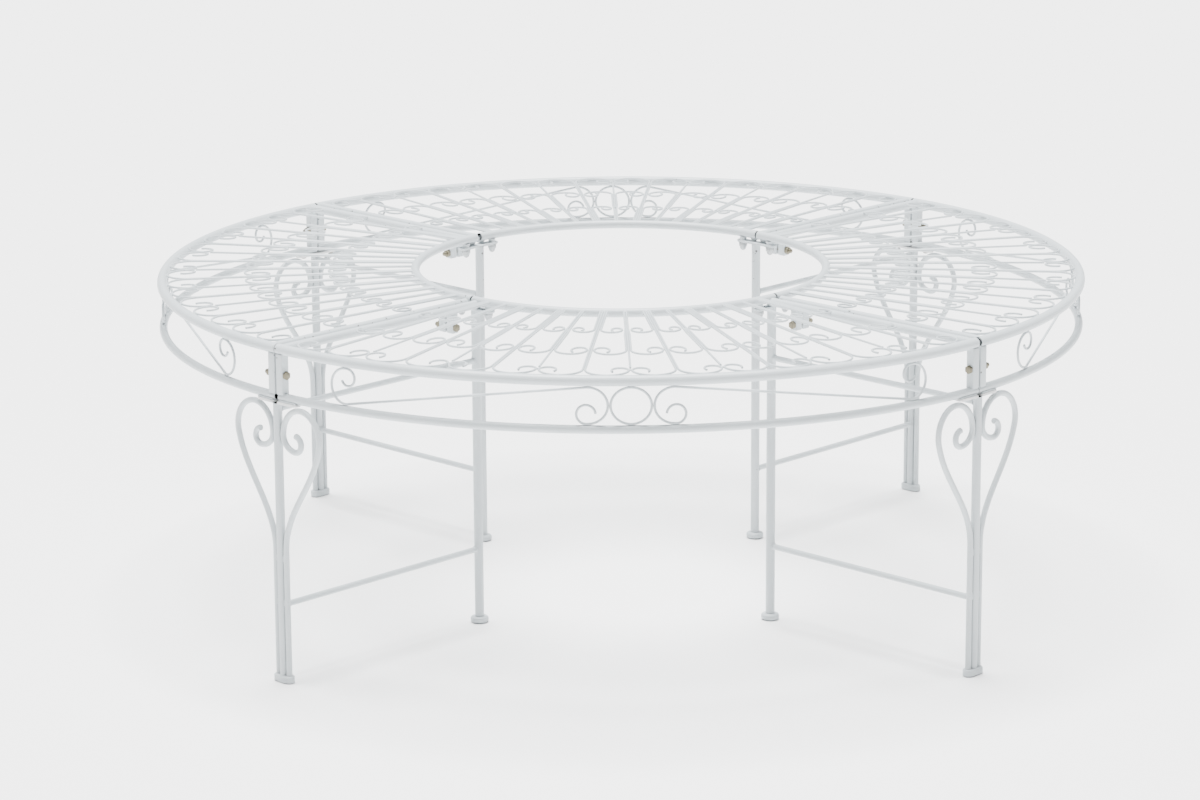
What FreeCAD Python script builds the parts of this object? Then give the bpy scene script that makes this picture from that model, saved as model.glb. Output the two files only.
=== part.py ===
import FreeCAD, Part
import math
import os

# Tree bench: four bolted quarters of scrolled wire seat on four double legs.
# Millimetres. Origin on the ground under the middle of the ring, +Z up, the front quarter towards -Y.
# Round bars are drawn with flat sides, so that some two hundred and fifty wires stay light.

# Seat ring
SEAT_HEIGHT = 461.0
INNER_RISE = 4.0
WIRE = 3.0
OUTER_RADIUS = 638.0
OUTER_TUBE = 14.0
INNER_RADIUS = 287.0
INNER_TUBE = 12.0
END_TUBE = 12.0
END_TUBE_INSET = 9.0
QUARTER_GAP = 3.0
TUBE_SIDES = 8
ROD_SIDES = 6
OUTER_CHORDS = 10
INNER_CHORDS = 7
OUTER_ARC_CHORDS = 4
ARC_CHORDS = 3
HOOK_CHORDS = 3
INNER_HOOK_CHORDS = 2

# Seat scrolls, three rows of hooked wires
BAR_STEP = 5.55
CROWN_MIDDLE = 528.0
CROWN_INNER = 407.5
HOOK_OUTER = 13.0
HOOK_MIDDLE = 10.0
HOOK_INNER = 7.0
HOOK_STRETCH = 1.45
HOOK_START = 85.0
HOOK_END = 315.0
TIE_LAP = 12.0

# Apron below the outer tube
APRON_DROP = 63.0
APRON_TUBE = 11.0
APRON_WIRE = 3.4
RING_WIDTH = 55.0
SCROLL_HOOK = 12.2
END_LOOP_REACH = 384.0
END_LOOP_WIDTH = 20.5
END_LOOP_HOOK = 12.8
END_LOOP_TIP = 9.0
END_LOOP_TURN = 340.0
END_LOOP_LEAN = 3.0
ARC_STRETCH = 2.0
LOW_HOOK_START = 175.0

# Posts and lugs that the quarters are bolted together by
POST = 12.0
LUG = 10.0
LUG_RADIUS = 334.0
LUG_LENGTH = 26.0
POST_BOLT_RISE = 24.0
LUG_BOLT_RISE = 8.0
BOLT = 6.0
BOLT_HEAD = 10.0
BOLT_HEAD_HEIGHT = 4.0
NUT = 10.0
NUT_HEIGHT = 5.0
THREAD_END = 5.0
HOLE_CLEARANCE = 0.3
BORE_CLEARANCE = 0.1

# Outer leg
LEG_ROD = 12.0
LEG_PROUD = 3.0
HEART_ROD = 8.0
HEART_REACH = 79.0
HEART_LEAVE = 190.0
HEART_RISE = 37.0
HEART_CURL = 11.0
HEART_CURL_DROP = 20.0
HEART_CURL_REACH = 23.0
HEART_FLARE = (6.0, 22.0)
HEART_TUCK = (14.0, 76.0)
HEART_CROWN_START = -28.0
HEART_CURL_END = 445.0
WELD_GAP = 0.3
FOOT_HEIGHT = 10.0
FOOT_LENGTH = 33.0
FOOT_WIDTH = 16.0
LEG_PLATE_LENGTH = 76.0
LEG_PLATE_WIDTH = 16.0
LEG_PLATE = 3.0
LEG_PLATE_NOTCH = 9.0
NOTCH_START = 1.5
PLATE_SCREW_SPACING = 54.0
SCREW = 5.0
SCREW_HEAD = 9.0
SCREW_HEAD_HEIGHT = 2.5
SCREW_DEPTH = 4.0

# Inner leg
INNER_ROD = 11.0
INNER_LEG_INSET = 4.0
INNER_FOOT_HEIGHT = 9.0
INNER_FOOT_WIDTH = 25.0
INNER_FOOT_BASE = 21.0
INNER_FOOT_TOP = 15.0
INNER_FOOT_WIDEST = 3.2
BRACKET_LENGTH = 72.0
BRACKET_WIDTH = 15.0
BRACKET = 3.0
STUD_SPACING = 52.0
STUD = 5.0
BOSS = 10.0
BOSS_HEIGHT = 4.0
DOME_NUT = 11.0
DOME_NUT_SIDE = 4.5
DOME_NUT_HEIGHT = 11.0
DOME_NUT_TOP = 5.0
STUD_IN_NUT = 6.0

# Bars between the outer and the inner leg
STRETCHER = 8.0
STRETCHER_HEIGHT = 105.0
UPPER_BAR = 8.0
UPPER_BAR_DROP = 7.5

# Worked out from the sizes above
INNER_Z = SEAT_HEIGHT - INNER_TUBE / 2
RAIL_TOP = SEAT_HEIGHT - INNER_RISE
WIRE_Z = RAIL_TOP
WIRE_BOTTOM = WIRE_Z - WIRE / 2
OUTER_Z = RAIL_TOP - OUTER_TUBE / 2
END_Z = RAIL_TOP - END_TUBE / 2
APRON_Z = OUTER_Z - APRON_DROP
APRON_TOP = APRON_Z + APRON_TUBE / 2
APRON_BOTTOM = APRON_Z - APRON_TUBE / 2
OUTER_BOTTOM = OUTER_Z - OUTER_TUBE / 2
END_BOTTOM = END_Z - END_TUBE / 2
GAP_HEIGHT = OUTER_BOTTOM - APRON_TOP
GAP_MIDDLE = (OUTER_BOTTOM + APRON_TOP) / 2
LEG_PLATE_BOTTOM = APRON_BOTTOM - LEG_PLATE
BRACKET_TOP = INNER_Z - INNER_TUBE / 2 - BOSS_HEIGHT
BRACKET_BOTTOM = BRACKET_TOP - BRACKET
UPPER_BAR_HEIGHT = LEG_PLATE_BOTTOM - UPPER_BAR_DROP
LEG_RADIUS = OUTER_RADIUS + LEG_PROUD
INNER_LEG_RADIUS = INNER_RADIUS - INNER_LEG_INSET
BRACKET_RADIUS = INNER_RADIUS - INNER_LEG_INSET / 2
TIE_START = CROWN_INNER - TIE_LAP
POST_BOLT_Z = APRON_TOP + POST_BOLT_RISE
LUG_BOTTOM = END_BOTTOM - LUG_LENGTH
LUG_BOLT_Z = LUG_BOTTOM + LUG_BOLT_RISE
POST_INSET = (QUARTER_GAP + POST) / 2
POST_FACE = POST_INSET + POST / 2
HALF_QUARTER = 45.0
HALF_LOBE = BAR_STEP / 2
LOBE_SPREAD = math.sin(math.radians(HALF_LOBE))
INNER_HALF_CHORD = math.radians(HALF_QUARTER / INNER_CHORDS)
OUTER_HALF_CHORD = math.radians(HALF_QUARTER / OUTER_CHORDS)
PAIR = WIRE / 2
PAIR_ROUND_TIE = WIRE
UP = FreeCAD.Vector(0, 0, 1)

QUARTERS = {"front": 270, "right": 0, "back": 90, "left": 180}
LEGS = {"front_left": 225, "front_right": 315, "back_right": 45, "back_left": 135}


def turn(x, y, degrees, z=0.0):
    """Point at (x, y), turned about the middle of the ring."""
    a = math.radians(degrees)
    return FreeCAD.Vector(x * math.cos(a) - y * math.sin(a), x * math.sin(a) + y * math.cos(a), z)


def around(shape, degrees):
    """Copy of a shape, turned about the middle of the ring."""
    copy = shape.copy()
    copy.rotate(FreeCAD.Vector(0, 0, 0), UP, degrees)
    return copy


def corner_reach(across, sides):
    """Distance from the middle of a flat-sided bar to its corners."""
    return across / 2 / math.cos(math.pi / sides)


def round_section(across, sides):
    """Corners of a bar's section, with a flat side up and the given width across the flats."""
    corner = corner_reach(across, sides)
    steps = [2 * math.pi * (i + 0.5) / sides - math.pi / 2 for i in range(sides)]
    return [(corner * math.cos(a), corner * math.sin(a)) for a in steps]


def wire_section(size):
    """Three-cornered section of a thin wire, with its flat side down."""
    return [(-size / 2, -size / 2), (size / 2, -size / 2), (0.0, size / 2)]


def side_reach(across, sides, height):
    """Distance from the middle of a flat-sided bar to its side, at a height above the middle."""
    corners = round_section(across, sides)
    reaches = []
    for (u, v), (p, q) in zip(corners, corners[1:] + corners[:1]):
        if v != q and min(v, q) <= height <= max(v, q):
            reaches.append(u + (p - u) * (height - v) / (q - v))
    return max(reaches)


def diamond_section(size):
    """Four-cornered section of a rod, its corners outwards and as wide as the rod."""
    return [(0.0, -size / 2), (size / 2, 0.0), (0.0, size / 2), (-size / 2, 0.0)]


def spiral(centre, start_radii, end_radii, start, end, chords):
    """Points round a centre, from one pair of radii to another, with angles in degrees."""
    points = []
    for i in range(chords + 1):
        t = i / chords
        a = math.radians(start + (end - start) * t)
        rx = start_radii[0] + (end_radii[0] - start_radii[0]) * t
        ry = start_radii[1] + (end_radii[1] - start_radii[1]) * t
        points.append((centre[0] + rx * math.cos(a), centre[1] + ry * math.sin(a)))
    return points


def flat_faces(corners):
    """A face on the corners, or two three-cornered ones where four don't lie in one plane."""
    if len(corners) == 4:
        normal = (corners[1] - corners[0]).cross(corners[2] - corners[0])
        if abs(normal.dot(corners[3] - corners[0])) > 1e-6 * normal.Length:
            halves = [corners[0:3], [corners[0], corners[2], corners[3]]]
            return [Part.Face(Part.makePolygon(half + half[:1])) for half in halves]
    return [Part.Face(Part.makePolygon(corners + corners[:1]))]


def skin(rings, closed=False):
    """Solid between rings of corners, each ring joined to the next by flat faces."""
    faces = []
    count = len(rings[0])
    pairs = list(zip(rings, rings[1:]))
    if closed:
        pairs.append((rings[-1], rings[0]))
    else:
        faces += flat_faces(rings[0][::-1])
        faces += flat_faces(rings[-1])
    for low, high in pairs:
        for i in range(count):
            j = (i + 1) % count
            faces += flat_faces([low[i], low[j], high[j], high[i]])
    shell = Part.Shell(faces)
    shell.sewShape()
    solid = Part.Solid(shell)
    if solid.Volume < 0:
        solid.reverse()
    return solid


def bar(points, section, ups, start_normal=None, end_normal=None, closed=False):
    """Bar of one section along straight runs, mitred at each bend."""
    count = len(points)
    runs = [(points[(i + 1) % count] - points[i]).normalize() for i in range(count)]
    rings = []
    for i, point in enumerate(points):
        after = runs[i] if closed or i < count - 1 else runs[i - 1]
        before = runs[i - 1] if closed or i > 0 else runs[i]
        normal = (before + after).normalize()
        if i == 0 and start_normal:
            normal = start_normal
        if i == count - 1 and end_normal:
            normal = end_normal
        side = ups[i].cross(normal).normalize()
        stretch = 1.0 / normal.dot(before)
        rings.append([point + side * (u * stretch) + ups[i] * v for u, v in section])
    return skin(rings, closed)


def straight(start, end, section, up):
    """Straight bar between two points."""
    return bar([start, end], section, [up, up])


def prism(u, v, low, high, size_u, size_v, angle):
    """Upright block, placed along and across the plane of a joint."""
    corners = [(-1, -1), (1, -1), (1, 1), (-1, 1)]
    rings = []
    for z in (low, high):
        rings.append([turn(u + i * size_u / 2, v + j * size_v / 2, angle, z) for i, j in corners])
    return skin(rings)


def column(u, v, low, high, across, sides, angle):
    """Upright bar with flat sides, placed along and across the plane of a joint."""
    section = round_section(across, sides)
    rings = [[turn(u + x, v + y, angle, z) for x, y in section] for z in (low, high)]
    return skin(rings)


def pin(u, z, start, end, across, sides, angle):
    """Bar that lies across the plane of a joint."""
    section = round_section(across, sides)
    rings = [[turn(u + x, v, angle, z + y) for x, y in section] for v in (start, end)]
    return skin(rings)


def tube_line(radius, chords, v):
    """Distance from the middle of the ring at which a tube lies, v across from its joint."""
    return radius - abs(v) * math.tan(math.radians(HALF_QUARTER / chords))


def tube_path(radius, chords, z):
    """Corners of a quarter's tube, from one joint to the next."""
    half_gap = QUARTER_GAP / 2
    end = tube_line(radius, chords, half_gap)
    step = 2 * HALF_QUARTER / chords
    points = [turn(end, half_gap, -HALF_QUARTER, z)]
    points += [turn(radius, 0, -HALF_QUARTER + step * i, z) for i in range(1, chords)]
    points.append(turn(end, -half_gap, HALF_QUARTER, z))
    return points


def quarter_tube(radius, chords, z, across, sides):
    """Bent tube of a quarter, cut square to the joints at its ends."""
    points = tube_path(radius, chords, z)
    start_normal = turn(0, 1, -HALF_QUARTER)
    end_normal = turn(0, 1, HALF_QUARTER)
    section = round_section(across, sides)
    return bar(points, section, [UP] * len(points), start_normal, end_normal)


def drill(shape, tools):
    """Shape with holes cut into it."""
    for tool in tools:
        shape = shape.cut(tool)
    return shape.Solids[0]


def hole(size):
    """Width of the hole that a bolt, screw or stud goes through."""
    return size + HOLE_CLEARANCE


def outer_rail():
    return quarter_tube(OUTER_RADIUS, OUTER_CHORDS, OUTER_Z, OUTER_TUBE, TUBE_SIDES)


def inner_rail():
    return quarter_tube(INNER_RADIUS, INNER_CHORDS, INNER_Z, INNER_TUBE, ROD_SIDES)


def apron_rail():
    """Lower tube, with a blind hole over each leg plate for its screw."""
    rail = quarter_tube(OUTER_RADIUS, OUTER_CHORDS, APRON_Z, APRON_TUBE, ROD_SIDES)
    v = PLATE_SCREW_SPACING / 2
    u = tube_line(OUTER_RADIUS, OUTER_CHORDS, v)
    tools = []
    for side in (-1, 1):
        top = APRON_BOTTOM + SCREW_DEPTH
        tools.append(column(u, -side * v, APRON_BOTTOM - 1, top, hole(SCREW), 4, side * HALF_QUARTER))
    return drill(rail, tools)


def end_tube(side):
    """Tube across the end of a quarter, cut to the sides of the two rails it joins."""
    angle = side * HALF_QUARTER
    v = -side * END_TUBE_INSET
    inner_side = corner_reach(INNER_TUBE, ROD_SIDES)
    start = tube_line(INNER_RADIUS, INNER_CHORDS, v) + inner_side / math.cos(INNER_HALF_CHORD)
    end = tube_line(OUTER_RADIUS, OUTER_CHORDS, v) - OUTER_TUBE / 2 / math.cos(OUTER_HALF_CHORD)
    points = [turn(start, v, angle, END_Z), turn(end, v, angle, END_Z)]
    start_normal = turn(1, 0, side * (HALF_QUARTER - math.degrees(INNER_HALF_CHORD)))
    end_normal = turn(1, 0, side * (HALF_QUARTER - math.degrees(OUTER_HALF_CHORD)))
    return bar(points, round_section(END_TUBE, ROD_SIDES), [UP, UP], start_normal, end_normal)


def end_frame(side):
    """End tube, post and lug at one end of a quarter, side -1 or 1."""
    angle = side * HALF_QUARTER
    v = -side * POST_INSET
    post = prism(OUTER_RADIUS, v, APRON_TOP, OUTER_BOTTOM, POST, POST, angle)
    lug = prism(LUG_RADIUS, v, LUG_BOTTOM, END_BOTTOM, LUG, POST, angle)
    past = -side * (POST_FACE + 1)
    post_hole = pin(OUTER_RADIUS, POST_BOLT_Z, past, 0, hole(BOLT), 4, angle)
    lug_hole = pin(LUG_RADIUS, LUG_BOLT_Z, past, 0, hole(BOLT), 4, angle)
    return [end_tube(side), drill(post, [post_hole]), drill(lug, [lug_hole])]


def end_frames():
    return end_frame(-1) + end_frame(1)


def scroll_path(hand, own_offset, meet_offset, crown, hook, start, chords):
    """Plan of one seat scroll: out along its bar, round the crown and back in a tighter hook.

    The lobe between two bars lies along x. Its own bar runs out on one side of x and the bar
    that it meets on the other, and the crown is the circle that touches both wires' lines.
    Its arc and its hook have the given numbers of chords.
    """
    arc_chords, hook_chords = chords
    beta = math.radians(HALF_LOBE)
    mean = (own_offset + meet_offset) / 2
    x = (crown + mean) / (1 + LOBE_SPREAD)
    y = (own_offset - meet_offset) / 2 / math.cos(beta)
    radius = x * LOBE_SPREAD - mean
    first = -90.0 - HALF_LOBE
    points = spiral((x, y), (radius, radius), (radius, radius), first, HOOK_START, arc_chords)
    if start:
        root_x = start * math.cos(beta) + own_offset * math.sin(beta)
        root_y = own_offset * math.cos(beta) - start * math.sin(beta)
        points.insert(0, (root_x, root_y))
    turn_in = math.radians(HOOK_START)
    long_hook = hook * HOOK_STRETCH
    hook_x = x + (radius - long_hook) * math.cos(turn_in)
    hook_y = y + (radius - hook) * math.sin(turn_in)
    radii = (long_hook, hook)
    points += spiral((hook_x, hook_y), radii, radii, HOOK_START, HOOK_END, hook_chords)[1:]
    return [(px, hand * py) for px, py in points]


def wire_root(bar_angle, offset):
    """Distance out along a bar at which a wire beside it leaves the inner tube."""
    side = side_reach(INNER_TUBE, ROD_SIDES, WIRE_BOTTOM - INNER_Z)
    line = INNER_RADIUS * math.cos(INNER_HALF_CHORD) + side
    roots = []
    for edge in (offset - WIRE / 2, offset + WIRE / 2):
        distances = []
        for i in range(INNER_CHORDS):
            away = INNER_HALF_CHORD * (2 * i + 1 - INNER_CHORDS) - math.radians(bar_angle)
            distances.append((line - edge * math.sin(away)) / math.cos(away))
        roots.append(min(distances))
    return max(roots)


def outer_crown(lobe_angle, mean):
    """Crown of an outer lobe that touches the shoulder of the outer tube."""
    side = side_reach(OUTER_TUBE, TUBE_SIDES, WIRE_BOTTOM - OUTER_Z)
    line = OUTER_RADIUS * math.cos(OUTER_HALF_CHORD) - side - WIRE / 2 - WELD_GAP
    aways = []
    for i in range(OUTER_CHORDS):
        aways.append(abs(OUTER_HALF_CHORD * (2 * i + 1 - OUTER_CHORDS) - math.radians(lobe_angle)))
    return (line + mean) * (1 + LOBE_SPREAD) / (math.cos(min(aways)) + LOBE_SPREAD) - mean


def beside_end_tube(crown):
    """Offset from an end bar at which a lobe of some crown only just passes its end tube."""
    side = side_reach(END_TUBE, ROD_SIDES, WIRE_BOTTOM - END_Z)
    v = END_TUBE_INSET + side + WIRE / 2 + WELD_GAP
    lean = math.radians(HALF_QUARTER - END_BAR)
    along = crown / (1 + LOBE_SPREAD)
    return (v - along * math.sin(lean)) / math.cos(lean)


def seat_scroll(bar_angle, hand, own_offset, meet_offset, crown, hook, chords, rooted=True):
    """Wire of one scroll, to one hand of the bar that it starts on."""
    start = wire_root(bar_angle, hand * own_offset) if rooted else None
    path = scroll_path(hand, own_offset, meet_offset, crown, hook, start, chords)
    angle = bar_angle + hand * HALF_LOBE
    points = [turn(x, y, angle, WIRE_Z) for x, y in path]
    return bar(points, wire_section(WIRE), [UP] * len(points))


def bars(first, count):
    """Angles of every second bar of a quarter."""
    return [first + 2 * BAR_STEP * i for i in range(count)]


EVEN_BARS = bars(-7 * BAR_STEP, 8)
ODD_BARS = bars(-6 * BAR_STEP, 7)
END_BAR = 8 * BAR_STEP


def at_end(bar_angle, hand):
    """Whether a lobe lies between the last even bar and an end tube."""
    return hand * bar_angle > END_BAR - 2 * BAR_STEP


def outer_lobe(bar_angle, hand):
    """Offset that an outer wire meets and the crown that it reaches."""
    meet = PAIR
    crown = outer_crown(bar_angle + hand * HALF_LOBE, PAIR)
    if at_end(bar_angle, hand):
        meet = beside_end_tube(crown)
        crown = outer_crown(bar_angle + hand * HALF_LOBE, (PAIR + meet) / 2)
    return meet, crown


def outer_scrolls():
    """Pairs from the even bars, whose crowns touch the outer rail and meet at the odd bars."""
    chords = (OUTER_ARC_CHORDS, HOOK_CHORDS)
    wires = []
    for angle in EVEN_BARS:
        for hand in (-1, 1):
            meet, crown = outer_lobe(angle, hand)
            wires.append(seat_scroll(angle, hand, PAIR, meet, crown, HOOK_OUTER, chords))
    return wires


def middle_scrolls():
    """Pairs from the odd bars and one wire from each end tube, meeting the outer row's pairs."""
    chords = (ARC_CHORDS, HOOK_CHORDS)
    wires = []
    for angle in ODD_BARS:
        for hand in (-1, 1):
            wires.append(seat_scroll(angle, hand, PAIR_ROUND_TIE, PAIR + WIRE, CROWN_MIDDLE,
                                     HOOK_MIDDLE, chords))
    for hand in (-1, 1):
        wires.append(seat_scroll(-hand * END_BAR, hand, beside_end_tube(CROWN_MIDDLE), PAIR + WIRE,
                                 CROWN_MIDDLE, HOOK_MIDDLE, chords, rooted=False))
    return wires


def inner_scrolls():
    """Pairs outside those on the even bars, whose low crowns meet at the odd bars."""
    chords = (ARC_CHORDS, INNER_HOOK_CHORDS)
    wires = []
    for angle in EVEN_BARS:
        for hand in (-1, 1):
            meet = beside_end_tube(CROWN_INNER) if at_end(angle, hand) else PAIR_ROUND_TIE + WIRE
            wires.append(seat_scroll(angle, hand, PAIR + WIRE, meet, CROWN_INNER, HOOK_INNER, chords))
    return wires


def tie_end(bar_angle):
    """Radius at which a tie wire fills the narrowing gap between two hooks of the outer row."""
    meetings = []
    for hand in (-1, 1):
        crown = outer_crown(bar_angle + hand * HALF_LOBE, PAIR)
        path = scroll_path(1, PAIR, PAIR, crown, HOOK_OUTER, None, (OUTER_ARC_CHORDS, HOOK_CHORDS))
        meetings.append(path[OUTER_ARC_CHORDS][0])
    narrow = math.sqrt(HOOK_OUTER ** 2 - (HOOK_OUTER - WIRE / 2) ** 2)
    return min(meetings) - HOOK_STRETCH * narrow - WIRE


def tie_wires():
    """Single wire on each odd bar, from the inner row's crowns to the outer row's hooks."""
    section = wire_section(WIRE)
    return [straight(turn(TIE_START, 0, a, WIRE_Z), turn(tie_end(a), 0, a, WIRE_Z), section, UP)
            for a in ODD_BARS]


def on_apron(path):
    """Points of an apron wire and their outward directions, from its unrolled outline."""
    points = []
    outwards = []
    for along, height in path:
        angle = math.degrees(along / OUTER_RADIUS)
        points.append(turn(OUTER_RADIUS, 0, angle, height))
        outwards.append(turn(1, 0, angle))
    return points, outwards


def apron_ring():
    """Ring in the middle of the apron, as high as the gap between the two tubes."""
    radii = (RING_WIDTH / 2 - APRON_WIRE / 2, GAP_HEIGHT / 2 - APRON_WIRE / 2)
    points, outwards = on_apron(spiral((0, GAP_MIDDLE), radii, radii, 0, 360, 12)[:-1])
    return bar(points, wire_section(APRON_WIRE), outwards, closed=True)


def apron_scroll(side):
    """Long wire from a hook beside the ring, down along the apron to a scroll near its end."""
    half = APRON_WIRE / 2
    rise = GAP_HEIGHT / 2 - half
    reach = RING_WIDTH / 2 + half
    middle = reach + rise + ARC_STRETCH
    low_hook = APRON_TOP + half + SCROLL_HOOK
    hook = (SCROLL_HOOK, SCROLL_HOOK)
    path = spiral((middle + ARC_STRETCH, low_hook), hook, hook, LOW_HOOK_START, -90, 3)
    arc = (rise + ARC_STRETCH, rise)
    path += spiral((middle, GAP_MIDDLE), arc, arc, -90, -270, 3)[1:]
    width = END_LOOP_WIDTH
    path += spiral((END_LOOP_REACH, GAP_MIDDLE), (width, rise), (width, rise), -90, 90, 3)
    top_hook = OUTER_BOTTOM - half - END_LOOP_HOOK
    start = (END_LOOP_HOOK, END_LOOP_HOOK)
    end = (END_LOOP_TIP, END_LOOP_TIP)
    path += spiral((END_LOOP_REACH - END_LOOP_LEAN, top_hook), start, end, 90, END_LOOP_TURN, 3)[1:]
    points, outwards = on_apron([(side * along, height) for along, height in path])
    return bar(points, wire_section(APRON_WIRE), outwards)


def apron_scrollwork():
    return [apron_ring(), apron_scroll(-1), apron_scroll(1)]


def heart_path():
    """Half of a heart: up beside the leg, out and over its top, and in to a curl."""
    touch = (LEG_ROD + HEART_ROD) / 2 + WELD_GAP
    top = LEG_PLATE_BOTTOM - HEART_ROD / 2
    middle = top - HEART_RISE
    half_width = (HEART_REACH - touch) / 2
    crown = (half_width, HEART_RISE)
    bend = (touch + HEART_FLARE[0], HEART_LEAVE + HEART_FLARE[1])
    path = [(touch, FOOT_HEIGHT), (touch, HEART_LEAVE), bend]
    path.append((HEART_REACH - HEART_TUCK[0], top - HEART_TUCK[1]))
    path += spiral((touch + half_width, middle), crown, crown, HEART_CROWN_START, 180, 4)
    curl_middle = touch + HEART_CURL_REACH
    inner = (HEART_CURL_REACH, HEART_CURL_DROP)
    path += spiral((curl_middle, middle), inner, inner, 180, 270, 2)[1:]
    curl_height = middle - HEART_CURL_DROP + HEART_CURL
    curl = (HEART_CURL, HEART_CURL)
    path += spiral((curl_middle, curl_height), curl, curl, 270, HEART_CURL_END, 3)[1:]
    return path


def heart_scroll(side, angle):
    """Side rod of an outer leg, bent into half a heart under the leg plate."""
    points = [turn(LEG_RADIUS, side * v, angle, z) for v, z in heart_path()]
    outward = turn(1, 0, angle)
    return bar(points, diamond_section(HEART_ROD), [outward] * len(points))


def heart_scrolls(angle):
    return [heart_scroll(-1, angle), heart_scroll(1, angle)]


def fixing_holes(radius, chords, spacing, low, high, size, angle):
    """Cutters for a plate's two holes, each under the tube that it is fixed to."""
    v = spacing / 2
    u = tube_line(radius, chords, v)
    return [column(u, side * v, low, high, size, 4, angle) for side in (-1, 1)]


def outer_leg(angle):
    """Middle rod of an outer leg and the plate that carries both aprons, notched over the rod."""
    rod = column(LEG_RADIUS, 0, FOOT_HEIGHT, LEG_PLATE_BOTTOM, LEG_ROD, ROD_SIDES, angle)
    plate = prism(OUTER_RADIUS, 0, LEG_PLATE_BOTTOM, APRON_BOTTOM, LEG_PLATE_WIDTH,
                  LEG_PLATE_LENGTH, angle)
    low, high = LEG_PLATE_BOTTOM - 1, APRON_BOTTOM + 1
    cuts = fixing_holes(OUTER_RADIUS, OUTER_CHORDS, PLATE_SCREW_SPACING, low, high, hole(SCREW), angle)
    notch = OUTER_RADIUS - NOTCH_START + LEG_PLATE_WIDTH / 2
    cuts.append(prism(notch, 0, low, high, LEG_PLATE_WIDTH, LEG_PLATE_NOTCH, angle))
    return [rod, drill(plate, cuts)]


def inner_leg(angle):
    """Inner leg rod and the bracket plate on its top."""
    rod = column(INNER_LEG_RADIUS, 0, INNER_FOOT_HEIGHT, BRACKET_BOTTOM, INNER_ROD, ROD_SIDES, angle)
    plate = prism(BRACKET_RADIUS, 0, BRACKET_BOTTOM, BRACKET_TOP, BRACKET_WIDTH, BRACKET_LENGTH, angle)
    holes = fixing_holes(INNER_RADIUS, INNER_CHORDS, STUD_SPACING, BRACKET_BOTTOM - 1,
                         BRACKET_TOP + 1, hole(STUD), angle)
    return [rod, drill(plate, holes)]


def cross_bars(angle):
    """Low stretcher and upper bar between the outer and the inner leg."""
    start = INNER_LEG_RADIUS + corner_reach(INNER_ROD, ROD_SIDES)
    end = LEG_RADIUS - corner_reach(LEG_ROD, ROD_SIDES)
    parts = []
    for across, height in ((STRETCHER, STRETCHER_HEIGHT), (UPPER_BAR, UPPER_BAR_HEIGHT)):
        section = round_section(across, ROD_SIDES)
        parts.append(straight(turn(start, 0, angle, height), turn(end, 0, angle, height), section, UP))
    return parts


def outer_foot(angle):
    """Block under the three rods of an outer leg, with rounded ends."""
    half = FOOT_WIDTH / 2
    end = FOOT_LENGTH / 2 - half
    outline = []
    for side in (-1, 1):
        for a in (0, 45, 90, 135, 180):
            t = math.radians(a) * side
            outline.append((half * math.cos(t) * side, side * end + half * abs(math.sin(t)) * side))
    rings = [[turn(LEG_RADIUS + u, v, angle, z) for u, v in outline] for z in (0.0, FOOT_HEIGHT)]
    return skin(rings)


def inner_foot(angle):
    """Round bun under an inner leg."""
    rings = []
    for z, width in ((0.0, INNER_FOOT_BASE), (INNER_FOOT_WIDEST, INNER_FOOT_WIDTH),
                     (INNER_FOOT_HEIGHT, INNER_FOOT_TOP)):
        section = round_section(width, TUBE_SIDES)
        rings.append([turn(INNER_LEG_RADIUS + x, y, angle, z) for x, y in section])
    return skin(rings)


def joint_places(angle):
    """Radius and height of both bolts of a joint, and the side that their heads are on."""
    head_side = 1 if angle in (45, 225) else -1
    return [(OUTER_RADIUS, POST_BOLT_Z, head_side), (LUG_RADIUS, LUG_BOLT_Z, head_side)]


def joint_bolts(angle):
    """Bolts through two posts and two lugs."""
    bolts = []
    for u, z, side in joint_places(angle):
        face = side * POST_FACE
        head = pin(u, z, face, face + side * BOLT_HEAD_HEIGHT, BOLT_HEAD, 6, angle)
        tip = -side * (POST_FACE + NUT_HEIGHT + THREAD_END)
        shank = pin(u, z, face, tip, BOLT, 4, angle)
        bolts.append(head.fuse(shank).removeSplitter().Solids[0])
    return bolts


def joint_nuts(angle):
    """Nuts on the bolts of a joint."""
    nuts = []
    for u, z, side in joint_places(angle):
        face = -side * POST_FACE
        nut = pin(u, z, face, face - side * NUT_HEIGHT, NUT, 6, angle)
        past = -side * (POST_FACE + NUT_HEIGHT + THREAD_END)
        bore = pin(u, z, 0, past, BOLT + BORE_CLEARANCE, 4, angle)
        nuts.append(drill(nut, [bore]))
    return nuts


def plate_screws(angle):
    """Screws through a leg plate, up into both aprons."""
    v = PLATE_SCREW_SPACING / 2
    u = tube_line(OUTER_RADIUS, OUTER_CHORDS, v)
    screws = []
    for side in (-1, 1):
        under = LEG_PLATE_BOTTOM - SCREW_HEAD_HEIGHT
        head = column(u, side * v, under, LEG_PLATE_BOTTOM, SCREW_HEAD, 6, angle)
        tip = APRON_BOTTOM + SCREW_DEPTH - HOLE_CLEARANCE
        shank = column(u, side * v, LEG_PLATE_BOTTOM, tip, SCREW, 4, angle)
        screws.append(head.fuse(shank).removeSplitter().Solids[0])
    return screws


def weld_studs(angle):
    """Shouldered studs under the inner rails, down through the bracket plate."""
    v = STUD_SPACING / 2
    u = tube_line(INNER_RADIUS, INNER_CHORDS, v)
    studs = []
    for side in (-1, 1):
        boss = column(u, side * v, BRACKET_TOP, BRACKET_TOP + BOSS_HEIGHT, BOSS, 6, angle)
        stud = column(u, side * v, BRACKET_BOTTOM - STUD_IN_NUT, BRACKET_TOP, STUD, 4, angle)
        studs.append(boss.fuse(stud).removeSplitter().Solids[0])
    return studs


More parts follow.
